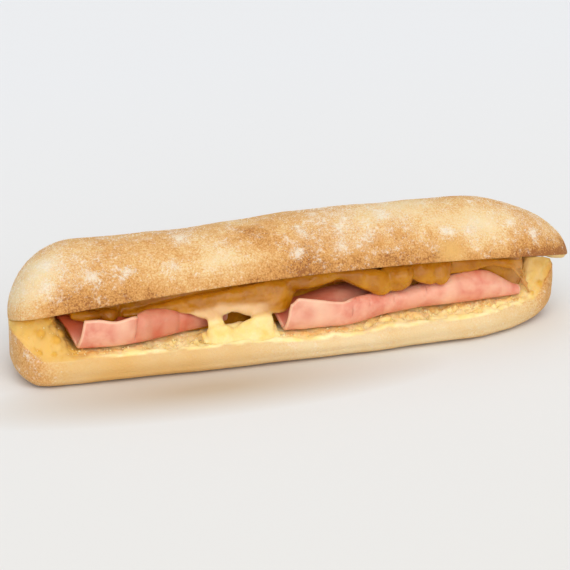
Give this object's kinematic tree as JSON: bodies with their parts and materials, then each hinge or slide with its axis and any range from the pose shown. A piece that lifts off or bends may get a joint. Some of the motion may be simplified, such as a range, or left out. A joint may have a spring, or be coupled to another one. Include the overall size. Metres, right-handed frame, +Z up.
{
  "type": "croque monsieur",
  "caption": "Croque monsieur in a long flour-dusted bread roll, propped open at the front by folded slices of pink ham and melted cheese.",
  "frame": {"origin": "centre of the bounding box, on the table under the roll", "axes": "+X along the roll towards the pointed end, -Y towards the open mouth, +Z up"},
  "size_m": [0.2524, 0.0662, 0.0573],
  "materials": {
    "crust": "stands in for a matte golden-tan bread crust dusted with flour",
    "pale_bread": "stands in for pale, barely baked crust and open yellow crumb",
    "ham": "stands in for moist cooked ham, softly glossy",
    "cheese": "stands in for melted yellow cheese, softly glossy"
  },
  "bodies": {
    "root": {"bread_base": "pale_bread", "bread_lid": "crust", "ham_left": "ham", "ham_right": "ham", "melted_cheese": "cheese"}
  },
  "joints": []
}
